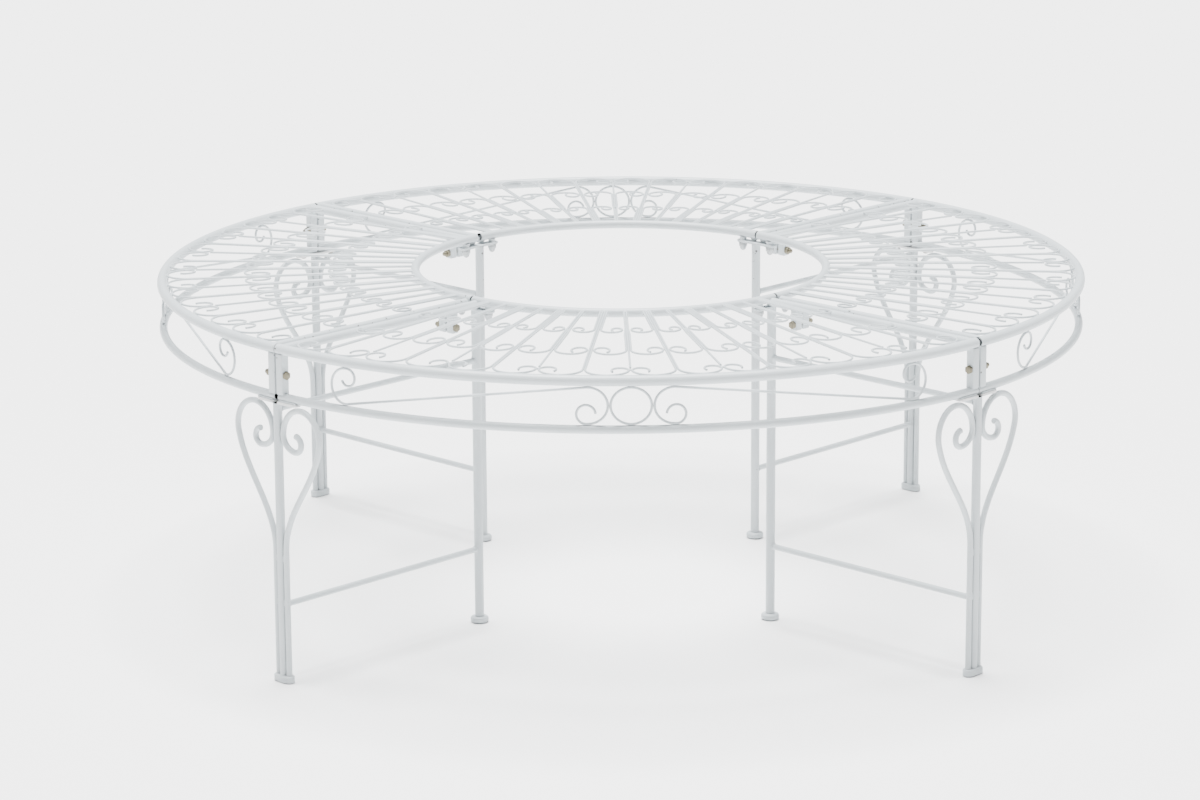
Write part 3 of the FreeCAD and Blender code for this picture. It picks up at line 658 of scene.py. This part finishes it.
class TREEBENCH_OT_rails(Operator):
    """Outer, inner and apron tubes of the quarters"""

    bl_idname = "treebench.rails"
    bl_label = "Rails"

    def execute(self, context):
        sizes = context.scene.bench_seat
        tubes = {
            "outer": (sizes.outer_radius, sizes.outer_tube, RAIL_TOP - sizes.outer_tube / 2,
                      sizes.outer_gaps, 56),
            "inner": (sizes.inner_radius, sizes.inner_tube, INNER_TOP - sizes.inner_tube / 2,
                      sizes.inner_gaps, 36),
            "apron": (sizes.outer_radius, sizes.apron_tube, (APRON_TOP + APRON_BOTTOM) / 2,
                      sizes.apron_gaps, 56),
        }
        joints = list(LEGS.values())
        for tube, (radius, diameter, middle, leg_gaps, steps) in tubes.items():
            for quarter, degrees in QUARTERS.items():
                end_gaps = [leg_gaps[joints.index((degrees + side * HALF_QUARTER) % 360)]
                            for side in (-1, 1)]
                obj = bent_tube(radius, diameter, middle, sizes.tube_wall, end_gaps, steps)
                all_round(obj, {quarter: degrees}, tube + "_tube", tube + "_rail")
        return {"FINISHED"}


class TREEBENCH_OT_end_frames(Operator):
    """End tubes, posts and lugs beside the joints"""

    bl_idname = "treebench.end_frames"
    bl_label = "End frames"

    def execute(self, context):
        sizes = context.scene.bench_seat
        rounding, sunk = 1.2 * MM, 2 * MM
        tube_z = RAIL_TOP - sizes.end_tube / 2
        tube_bottom = RAIL_TOP - sizes.end_tube
        half, half_lug = sizes.post / 2, sizes.lug / 2
        uprights = (
            (sizes.outer_radius, half, APRON_TOP - sunk, RAIL_TOP - sizes.outer_tube + sunk),
            (sizes.lug_radius, half_lug, tube_bottom - sizes.lug_length, tube_bottom + sunk))
        parts = []
        for side in (-1, 1):
            inset, middle = -side * sizes.end_inset, -side * sizes.post_inset
            pieces = [rod((sizes.inner_radius, inset, tube_z), (sizes.outer_radius, inset, tube_z),
                          sizes.end_tube, 24)]
            for radius, reach, low, high in uprights:
                pieces.append(block((radius - reach, middle - half, low),
                                    (radius + reach, middle + half, high), rounding))
            for piece in pieces:
                parts.append(turned(piece, side * HALF_QUARTER))
                bpy.data.objects.remove(piece)
        all_round(joined(parts), QUARTERS, "end_tubes_posts_and_lugs", "end_frames")
        return {"FINISHED"}


class TREEBENCH_OT_seat_scrolls(Operator):
    """Three rows of hooked wires on the seat, and the single wires between them"""

    bl_idname = "treebench.seat_scrolls"
    bl_label = "Seat scrolls"

    def execute(self, context):
        sizes = context.scene.bench_scrolls
        wire, root, tie_start = sizes.wire, sizes.root, sizes.tie_start
        # Angles of the bars that the outer and inner rows start on, and of the single wires.
        bars = [i * sizes.step for i in range(1 - END_BAR, END_BAR, 2)]
        ties = [i * sizes.step for i in range(2 - END_BAR, END_BAR, 2)]
        turn = (sizes.hook_stretch, sizes.hook_start, sizes.hook_end)
        # The middle row's pairs run close together, and spread where a single wire joins them.
        before, after = 10 * MM, 20 * MM
        pinched = [(root, sizes.pinch), (tie_start - before, sizes.pinch),
                   (tie_start + after, wire)]
        # Each row's angles, its wires' distances from the two bars, its lobe and its first points.
        rows = {
            "outer": (bars, wire / 2, wire / 2,
                      (sizes.outer_crown, sizes.outer_hook, sizes.outer_stretch,
                       sizes.outer_start, sizes.outer_end), [(root, wire / 2)]),
            "middle": (ties, wire, wire * 1.5,
                       (sizes.middle_crown, sizes.middle_hook, *turn), pinched),
            "inner": (bars, wire * 1.5, wire * 2,
                      (sizes.inner_crown, sizes.inner_hook, *turn), [(root, wire * 1.5)]),
        }
        for row, (angles, own, meet, lobe, starts) in rows.items():
            beside = beside_end_tube(lobe[0])
            paths = []
            for a in angles:
                for hand in (-1, 1):
                    last = hand * a > (END_BAR - 1.5) * sizes.step
                    paths.append(seat_scroll(a, hand, own, beside if last else meet, lobe, starts))
            if row == "middle":
                for hand in (-1, 1):
                    paths.append(seat_scroll(-END_BAR * hand * sizes.step, hand, beside, meet,
                                             lobe, []))
            all_round(wires(paths, wire), QUARTERS, row + "_scroll_wires", row + "_scrolls")
        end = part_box("right_tie_wires")[1].x
        paths = [[on_ring(r, 0, a, wire_height(r)) for r in (tie_start, end)] for a in ties]
        all_round(wires(paths, wire), QUARTERS, "single_wires", "tie_wires")
        return {"FINISHED"}


def on_apron(along, height):
    """Point of an apron wire, from its unrolled outline."""
    radius = bpy.context.scene.bench_seat.outer_radius
    return on_ring(radius, 0, along / radius, height)


class TREEBENCH_OT_apron_wires(Operator):
    """Ring and two long scrolls between the outer tube and the lower one"""

    bl_idname = "treebench.apron_wires"
    bl_label = "Apron wires"

    def execute(self, context):
        sizes = context.scene.bench_apron
        half = sizes.wire / 2
        top = RAIL_TOP - context.scene.bench_seat.outer_tube
        middle_z = (top + APRON_TOP) / 2
        rise = (top - APRON_TOP) / 2 - half
        ring = spiral((0, middle_z), (sizes.ring_width / 2 - half, rise), 0, 2 * math.pi, 48)[:-1]
        parts = [wires([[on_apron(*p) for p in ring]], sizes.wire, closed=True)]
        up, hook_start, tip_end = math.pi / 2, math.radians(175), math.radians(340)
        stretch, lean = 2 * MM, 3 * MM
        middle = sizes.ring_width / 2 + half + rise + stretch
        low_hook = APRON_TOP + half + sizes.hook
        path = spiral((middle + stretch, low_hook), (sizes.hook, sizes.hook), hook_start, -up, 20)
        path += spiral((middle, middle_z), (rise + stretch, rise), -up, -3 * up, 18)[1:]
        path += spiral((sizes.loop_reach, middle_z), (sizes.loop_width, rise), -up, up, 16)
        top_hook = top - half - sizes.loop_hook
        path += spiral((sizes.loop_reach - lean, top_hook), (sizes.loop_hook, sizes.loop_hook),
                       up, tip_end, 18, (sizes.loop_tip, sizes.loop_tip))[1:]
        for side in (-1, 1):
            parts.append(wires([[on_apron(side * a, h) for a, h in path]], sizes.wire))
        all_round(joined(parts), QUARTERS, "apron_wires", "apron_scrollwork")
        return {"FINISHED"}


def heart_plan():
    """Half of a heart: up beside the leg, out and over its top, and in to a curl."""
    sizes = bpy.context.scene.bench_legs
    touch = (sizes.rod + sizes.heart) / 2
    low_end = 10 * MM
    crown_start, curl_end = math.radians(-20), math.radians(445)
    rise = sizes.heart_rise
    middle_z = APRON_BOTTOM - sizes.plate - sizes.heart / 2 - rise
    radii = ((sizes.heart_reach - touch) / 2, rise)
    crown = spiral((touch + radii[0], middle_z), radii, crown_start, math.pi, 24)
    first = Vector(crown[0])
    slope = (first - Vector(crown[1])).normalized()
    # The bend starts a little early, and keeps its direction for a while at both of its ends.
    early, keep_up, keep_out = 10 * MM, 45 * MM, 55 * MM
    leave = sizes.heart_leave
    path = [(touch, low_end)]
    path += bend((touch, leave - early), (touch, leave + keep_up), first + slope * keep_out,
                 first, 20)
    path += crown[1:]
    curl, drop, reach = sizes.curl, sizes.curl_drop, sizes.curl_reach
    down = 1.5 * math.pi
    path += spiral((touch + reach, middle_z), (reach, drop), math.pi, down, 10)[1:]
    path += spiral((touch + reach, middle_z - drop + curl), (curl, curl), down, curl_end, 14)[1:]
    return path


class TREEBENCH_OT_outer_legs(Operator):
    """Outer legs: middle rods, leg plates and half hearts"""

    bl_idname = "treebench.outer_legs"
    bl_label = "Outer legs"

    def execute(self, context):
        sizes = context.scene.bench_legs
        seat = context.scene.bench_seat
        radius = sizes.radius
        plate_low = APRON_BOTTOM - sizes.plate
        middle = rod((radius, 0, top_of("outer_feet")), (radius, 0, plate_low), sizes.rod, 24,
                     wall=seat.tube_wall)
        plate = slab(seat.outer_radius, sizes.plate_width, sizes.plate_length, plate_low,
                     APRON_BOTTOM, sizes.plate_edge)
        start, beyond, corner = seat.outer_radius - 1.5 * MM, 5 * MM, 0.8 * MM
        cutter = block((start, -sizes.notch / 2, plate_low - beyond),
                       (start + sizes.plate_width, sizes.notch / 2, APRON_BOTTOM + beyond), corner)
        modify(plate, "BOOLEAN", object=cutter, operation="DIFFERENCE", solver="EXACT")
        bpy.data.objects.remove(cutter)
        all_round(joined([middle, plate]), LEGS, "leg_rod_and_plate", "outer_leg")
        plan = heart_plan()
        paths = [[(radius, side * v, z) for v, z in plan] for side in (-1, 1)]
        all_round(wires(paths, sizes.heart, resolution=4), LEGS, "half_hearts", "heart_scrolls")
        return {"FINISHED"}


def bar_heights():
    """Heights of the stretcher's and the upper bar's middles."""
    half = bpy.context.scene.bench_legs.bar / 2
    low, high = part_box("front_left_cross_bars")
    return (low.z + half, high.z - half)


class TREEBENCH_OT_inner_legs(Operator):
    """Inner legs with their bracket plates, and the bars out to the outer legs"""

    bl_idname = "treebench.inner_legs"
    bl_label = "Inner legs and bars"

    def execute(self, context):
        sizes = context.scene.bench_legs
        top = top_of("front_left_inner_leg")
        low = top - sizes.plate
        radius = sizes.inner_radius
        leg = rod((radius, 0, top_of("inner_feet")), (radius, 0, low), sizes.inner_rod, 24)
        plate = slab((radius + context.scene.bench_seat.inner_radius) / 2, sizes.bracket_width,
                     sizes.bracket_length, low, top, sizes.plate_edge)
        all_round(joined([leg, plate]), LEGS, "inner_leg_rod_and_bracket", "inner_leg")
        sunk = 1 * MM
        end = sizes.radius - sizes.rod / 2 + sunk
        bars = [rod((radius, 0, height), (end, 0, height), sizes.bar) for height in bar_heights()]
        all_round(joined(bars), LEGS, "stretcher_and_upper_bar", "cross_bars")
        return {"FINISHED"}


class TREEBENCH_OT_feet(Operator):
    """Blocks under the outer legs and buns under the inner ones"""

    bl_idname = "treebench.feet"
    bl_label = "Feet"

    def execute(self, context):
        sizes = context.scene.bench_legs
        foot = slab(sizes.radius, sizes.foot_width, sizes.foot_length, 0.0, top_of("outer_feet"),
                    sizes.foot_edge)
        at_joints(foot, "outer_foot_blocks", "outer_feet")
        height = top_of("inner_feet")
        deselect()
        bpy.ops.mesh.primitive_cylinder_add(vertices=32, radius=sizes.inner_foot / 2, depth=height,
                                            location=(sizes.inner_radius, 0, height / 2))
        bun = eased(settle(), sizes.inner_foot_edge, 5, 40)
        at_joints(bun, "inner_foot_buns", "inner_feet")
        return {"FINISHED"}


def hexagon(place, width, height, axis, bevel):
    """Six-sided head or nut, its middle at a place."""
    deselect()
    bpy.ops.mesh.primitive_cylinder_add(
        vertices=6, radius=width / 2 / math.cos(math.pi / 6), depth=height, location=place,
        rotation=facing(axis))
    return eased(settle(), bevel, 2, 30)


def thread(start, end, diameter, pitch):
    """Threaded end of a bolt: ridges one pitch apart."""
    core = 0.86
    start, end = Vector(start), Vector(end)
    axis = end - start
    turns = max(1, round(axis.length / pitch))
    ridge = axis / turns / 2
    deselect()
    bpy.ops.mesh.primitive_circle_add(vertices=16, radius=diameter / 2 * core, fill_type="NGON",
                                      location=start, rotation=facing(axis))
    obj = settle()
    bpy.ops.object.mode_set(mode="EDIT")
    bpy.ops.mesh.select_all(action="SELECT")
    place = start.copy()
    for i in range(2 * turns):
        size = 1 / core if i % 2 == 0 else core
        place = place + ridge
        bpy.ops.mesh.extrude_region_move(TRANSFORM_OT_translate={"value": ridge})
        bpy.ops.transform.resize(value=(size, size, size), center_override=place)
    bpy.ops.mesh.select_all(action="SELECT")
    bpy.ops.mesh.normals_make_consistent(inside=False)
    bpy.ops.object.mode_set(mode="OBJECT")
    return smooth(obj, 60)


class TREEBENCH_OT_fasteners(Operator):
    """Bolts and nuts of the joints, plate screws, studs and closed nuts"""

    bl_idname = "treebench.fasteners"
    bl_label = "Fasteners"

    def execute(self, context):
        sizes, seat = context.scene.bench_fasteners, context.scene.bench_seat
        plate = context.scene.bench_legs.plate
        self.bolts(sizes, seat)
        self.screws(sizes, seat, APRON_BOTTOM - plate)
        self.studs(sizes, seat, plate)
        return {"FINISHED"}

    def bolts(self, sizes, seat):
        """Bolts through the posts and through the lugs, with their nuts."""
        face = seat.post_inset + seat.post / 2
        tip = -(face + sizes.nut_height + sizes.bolt_end)
        thread_y, lap, edge = tip + 8 * MM, 2 * MM, 0.5 * MM
        head_y, nut_y = face + sizes.head_height / 2, -face - sizes.nut_height / 2
        bolts, nuts = [], []
        for radius, z in ((seat.outer_radius, APRON_TOP + sizes.post_bolt),
                          (seat.lug_radius, RAIL_TOP - seat.end_tube - sizes.lug_bolt)):
            bolts += [
                hexagon((radius, head_y, z), sizes.head, sizes.head_height, (0, 1, 0), edge),
                rod((radius, face, z), (radius, thread_y - lap, z), sizes.bolt, 16),
                thread((radius, thread_y, z), (radius, tip, z), sizes.bolt, sizes.pitch)]
            nuts.append(hexagon((radius, nut_y, z), sizes.head, sizes.nut_height, (0, 1, 0), edge))
        self.alternate(joined(bolts), "hex_bolts", "joint_bolts")
        self.alternate(joined(nuts), "hex_nuts", "joint_nuts")

    def alternate(self, obj, name, node):
        """Copies at the four joints, with the heads on the front and back quarters."""
        copies = []
        for leg, degrees in LEGS.items():
            copy = turned(obj, 0)
            if leg not in ("back_right", "front_left"):
                copy.data.transform(Matrix.Scale(-1, 4, (0, 1, 0)))
                copy.data.flip_normals()
            copies.append(turned(copy, degrees))
            bpy.data.objects.remove(copy)
        bpy.data.objects.remove(obj)
        finish(joined(copies), name, node, "zinc")

    def screws(self, sizes, seat, plate_low):
        """Low round heads under the leg plates."""
        low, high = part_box("leg_plate_screws")
        screw_radius = seat.outer_radius - 2 * MM
        parts = []
        for side in (-1, 1):
            place = (screw_radius, side * sizes.screw_spacing / 2)
            parts.append(dome((*place, plate_low), sizes.screw_head / 2, plate_low - low.z, 10))
            parts.append(rod((*place, plate_low), (*place, high.z), sizes.screw, 12))
        at_joints(joined(parts), "round_head_screws", "leg_plate_screws", "zinc")

    def studs(self, sizes, seat, plate):
        """Spacers under the inner tubes, and closed nuts below the bracket plates."""
        plate_top = top_of("front_left_inner_leg")
        plate_low = plate_top - plate
        washer_low = plate_low - sizes.washer
        low = bottom_of("dome_nuts") - sizes.washer
        side_low = washer_low - sizes.dome_side
        sunk = 1 * MM
        spacer_top = INNER_TOP - seat.inner_tube + sunk
        stud_low = plate_low - 5 * MM
        stud_radius = seat.inner_radius - 3 * MM
        cap = 0.46 * sizes.dome
        washer_edge, nut_edge = 0.3 * MM, 0.4 * MM
        spacers, nuts = [], []
        for side in (-1, 1):
            place = (stud_radius, side * sizes.stud_spacing / 2)
            spacers.append(rod((*place, plate_top), (*place, spacer_top), sizes.spacer))
            spacers.append(rod((*place, stud_low), (*place, plate_top), sizes.screw, 12))
            nuts.append(rod((*place, washer_low), (*place, plate_low), sizes.washer_width, 24,
                            bevel=washer_edge))
            nuts.append(hexagon((*place, (washer_low + side_low) / 2), sizes.dome,
                                sizes.dome_side, (0, 0, 1), nut_edge))
            nuts.append(dome((*place, side_low), cap, side_low - low, 12))
        at_joints(joined(spacers), "studs_and_spacers", "weld_studs")
        at_joints(joined(nuts), "acorn_nuts", "dome_nuts", "nickel")


class TREEBENCH_OT_welds(Operator):
    """Painted weld beads where the wires meet the tubes, and on the legs and bars"""

    bl_idname = "treebench.welds"
    bl_label = "Weld beads"

    def execute(self, context):
        self.wire_beads(context.scene.bench_scrolls)
        self.leg_beads(context.scene.bench_legs, context.scene.bench_seat.outer_radius)
        return {"FINISHED"}

    def wire_beads(self, sizes):
        """Beads at the wires' roots, where the single wires end, and along the outer tube."""
        tie_end = 605 * MM
        # Each kind's distance from the ring's middle, its height, its size and its stretch.
        at_root = (sizes.root + 1.4 * MM, wire_height(sizes.root), 3.4 * MM, (0.7, 1, 0.6))
        at_tie = (tie_end, wire_height(tie_end) + 0.4 * MM, 2 * MM, (1, 1, 0.7))
        at_crown = (sizes.outer_crown + 1 * MM, wire_height(sizes.outer_crown) - 0.5 * MM,
                    2 * MM, (0.8, 2.2, 0.8))
        beads = []
        for i in range(1 - END_BAR, END_BAR):
            beads.append((i, at_root))
            if i % 2 == 0:
                beads.append((i, at_tie))
        beads += [(i + 0.5, at_crown) for i in range(-END_BAR, END_BAR)]
        parts = [bead(on_ring(radius, 0, i * sizes.step, height), size, stretch)
                 for i, (radius, height, size, stretch) in beads]
        all_round(joined(parts), QUARTERS, "wire_welds")

    def leg_beads(self, sizes, rim):
        """Beads on the legs' rods, fillets over the leg plates and collars round the bars."""
        rod_x, rod_y, rod_heights = sizes.radius + 2 * MM, 6.4 * MM, (110 * MM, 170 * MM)
        fillet_radius, fillet_z, fillet_wire = rim + 5 * MM, APRON_BOTTOM + 0.8 * MM, 3 * MM
        parts = []
        for side in (-1, 1):
            for height in rod_heights:
                parts.append(bead((rod_x, side * rod_y, height), 2.4 * MM, (0.8, 0.6, 2.2)))
            fillet = [on_ring(fillet_radius, 0, side * along * MM / rim, fillet_z)
                      for along in (6, 16, 26, 35)]
            parts.append(wires([fillet], fillet_wire))
        for height in bar_heights():
            for end in (sizes.radius - sizes.rod / 2, sizes.inner_radius + sizes.inner_rod / 2):
                parts.append(collar((end, 0, height), sizes.bar / 2, 1.2 * MM, (1, 0, 0)))
        all_round(joined(parts), LEGS, "leg_welds")


class TREEBENCH_OT_stage(Operator):
    """Pale floor, soft lights and the camera at the photograph's angle"""

    bl_idname = "treebench.stage"
    bl_label = "Stage"

    def execute(self, context):
        deselect()
        bpy.ops.mesh.primitive_plane_add(size=40, location=(0, 0, 0))
        floor = bpy.context.object
        floor.name = "floor"
        # Matt board: evenly pale, with soft shadows and no reflection.
        material, tree = new_material("pale_floor")
        shader = add_node(tree, "BsdfPrincipled",
                          values={"Base Color": colour("#FDFDFD"), "Roughness": 0.9})
        add_node(tree, "OutputMaterial", links={"Surface": shader.outputs["BSDF"]})
        floor.data.materials.append(material)
        self.lights(context)
        self.camera(context)
        return {"FINISHED"}

    def lights(self, context):
        """A broad soft light from above and a dim even sky."""
        world = bpy.data.worlds.new("studio")
        world.use_nodes = True
        background = world.node_tree.nodes["Background"]
        background.inputs["Color"].default_value = colour("#F4F8FA")
        background.inputs["Strength"].default_value = 0.15
        context.scene.world = world
        light = bpy.data.lights.new("overhead", "SUN")
        light.energy = 15.0
        light.angle = math.radians(35)
        lamp = bpy.data.objects.new("overhead", light)
        lamp.rotation_euler = Vector((0.05, -0.12, -1)).to_track_quat("-Z", "Y").to_euler()
        context.collection.objects.link(lamp)

    def camera(self, context):
        """Camera with the place and turn that were fitted to the photograph."""
        place = Vector((-0.107645, -5.511874, 1.67175))
        yaw, pitch, roll = 0.0141, -0.2503, -0.0055
        focal_px = 4034.97
        image_px = 1200
        forward = Vector((math.sin(yaw) * math.cos(pitch), math.cos(yaw) * math.cos(pitch),
                          math.sin(pitch)))
        right = Vector((math.cos(yaw), -math.sin(yaw), 0))
        up = right.cross(forward)
        across = right * math.cos(roll) + up * math.sin(roll)
        upward = up * math.cos(roll) - right * math.sin(roll)
        data = bpy.data.cameras.new("camera")
        data.sensor_width = 36.0
        data.lens = focal_px / image_px * data.sensor_width
        data.clip_end = 100.0
        camera = bpy.data.objects.new("camera", data)
        turn = Matrix((across, upward, -forward)).transposed().to_4x4()
        camera.matrix_world = Matrix.Translation(place) @ turn
        context.collection.objects.link(camera)
        context.scene.camera = camera


OPERATORS = [
    TREEBENCH_OT_rails,
    TREEBENCH_OT_end_frames,
    TREEBENCH_OT_seat_scrolls,
    TREEBENCH_OT_apron_wires,
    TREEBENCH_OT_outer_legs,
    TREEBENCH_OT_inner_legs,
    TREEBENCH_OT_feet,
    TREEBENCH_OT_fasteners,
    TREEBENCH_OT_welds,
    TREEBENCH_OT_stage,
]


class TREEBENCH_PT_sidebar(Panel):
    """Lists the bench's sizes and the operators that make its pieces"""

    bl_idname = "TREEBENCH_PT_sidebar"
    bl_label = "Tree Bench"
    bl_space_type = "VIEW_3D"
    bl_region_type = "UI"
    bl_category = "Tree Bench"

    def draw(self, context):
        for group in GROUPS:
            box = self.layout.box()
            settings = getattr(context.scene, group)
            for name in GROUPS[group].__annotations__:
                box.prop(settings, name)
        for operator in OPERATORS:
            self.layout.operator(operator.bl_idname)


def register():
    for group in GROUPS.values():
        bpy.utils.register_class(group)
    for operator in OPERATORS:
        bpy.utils.register_class(operator)
    bpy.utils.register_class(TREEBENCH_PT_sidebar)
    for name, group in GROUPS.items():
        setattr(bpy.types.Scene, name, PointerProperty(type=group))


def unregister():
    for name in GROUPS:
        delattr(bpy.types.Scene, name)
    bpy.utils.unregister_class(TREEBENCH_PT_sidebar)
    for operator in reversed(OPERATORS):
        bpy.utils.unregister_class(operator)
    for group in reversed(GROUPS.values()):
        bpy.utils.unregister_class(group)


def main():
    register()
    bpy.ops.treebench.stage()
    bpy.ops.treebench.rails()
    bpy.ops.treebench.end_frames()
    bpy.ops.treebench.seat_scrolls()
    bpy.ops.treebench.apron_wires()
    bpy.ops.treebench.outer_legs()
    bpy.ops.treebench.inner_legs()
    bpy.ops.treebench.feet()
    bpy.ops.treebench.fasteners()
    bpy.ops.treebench.welds()


if __name__ == "__main__":
    main()
